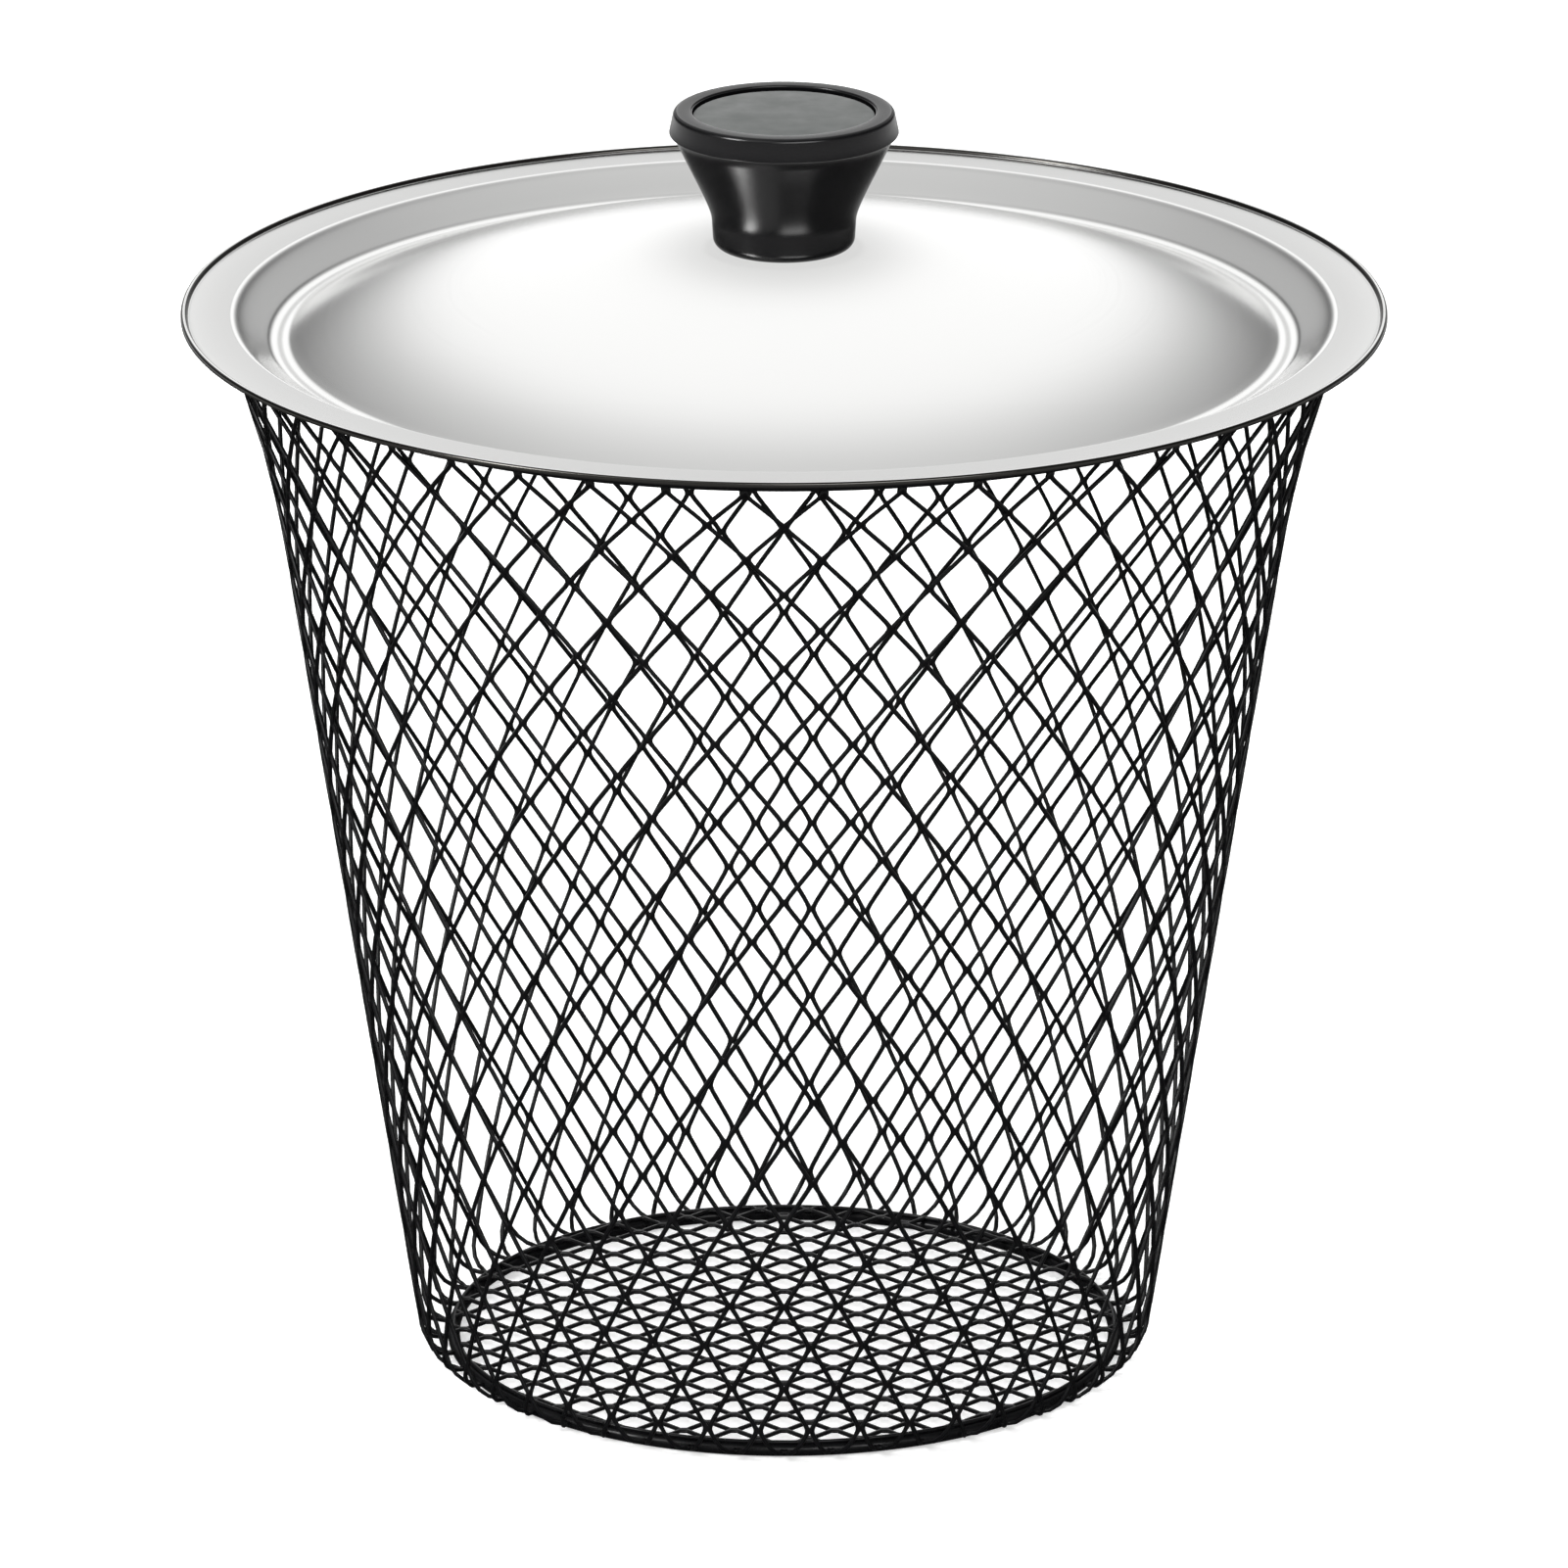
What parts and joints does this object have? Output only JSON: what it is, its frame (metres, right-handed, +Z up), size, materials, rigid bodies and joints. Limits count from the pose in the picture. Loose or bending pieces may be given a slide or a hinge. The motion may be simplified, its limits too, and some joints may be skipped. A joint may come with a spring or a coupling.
{
  "type": "underground compost basket",
  "caption": "Tapered open basket of black diamond steel mesh with a rim hoop, base ring and mesh floor, closed by a loose domed stainless lid with a moulded knob.",
  "frame": {"origin": "on the ground at the centre of the basket, in the plane of the base ring's underside", "axes": "+Z up along the axis that basket, lid and knob share; +X and +Y are free, because the part is round"},
  "size_m": [0.2866, 0.2866, 0.3098],
  "materials": {
    "black_steel": "black paint, semi-gloss",
    "stainless_lid": "fine spun satin stainless steel",
    "knob_plastic": "moulded, gloss black",
    "cap_plastic": "satin dark grey disc",
    "brass_bush": "turned",
    "plated_steel": "bright zinc plate"
  },
  "bodies": {
    "basket": {"rim_hoop": "black_steel", "wall_mesh": "black_steel", "base_ring": "black_steel", "floor_mesh": "black_steel"},
    "lid": {"lid_shell": "stainless_lid", "knob_body": "knob_plastic", "knob_cap": "cap_plastic", "knob_threaded_bush": "brass_bush", "knob_washer": "plated_steel", "knob_screw": "plated_steel"}
  },
  "joints": [
    {"name": "lid_lift", "type": "slide", "parent": "basket", "child": "lid", "axis": [0, 0, 1], "range_m": [0, 0.3]}
  ]
}
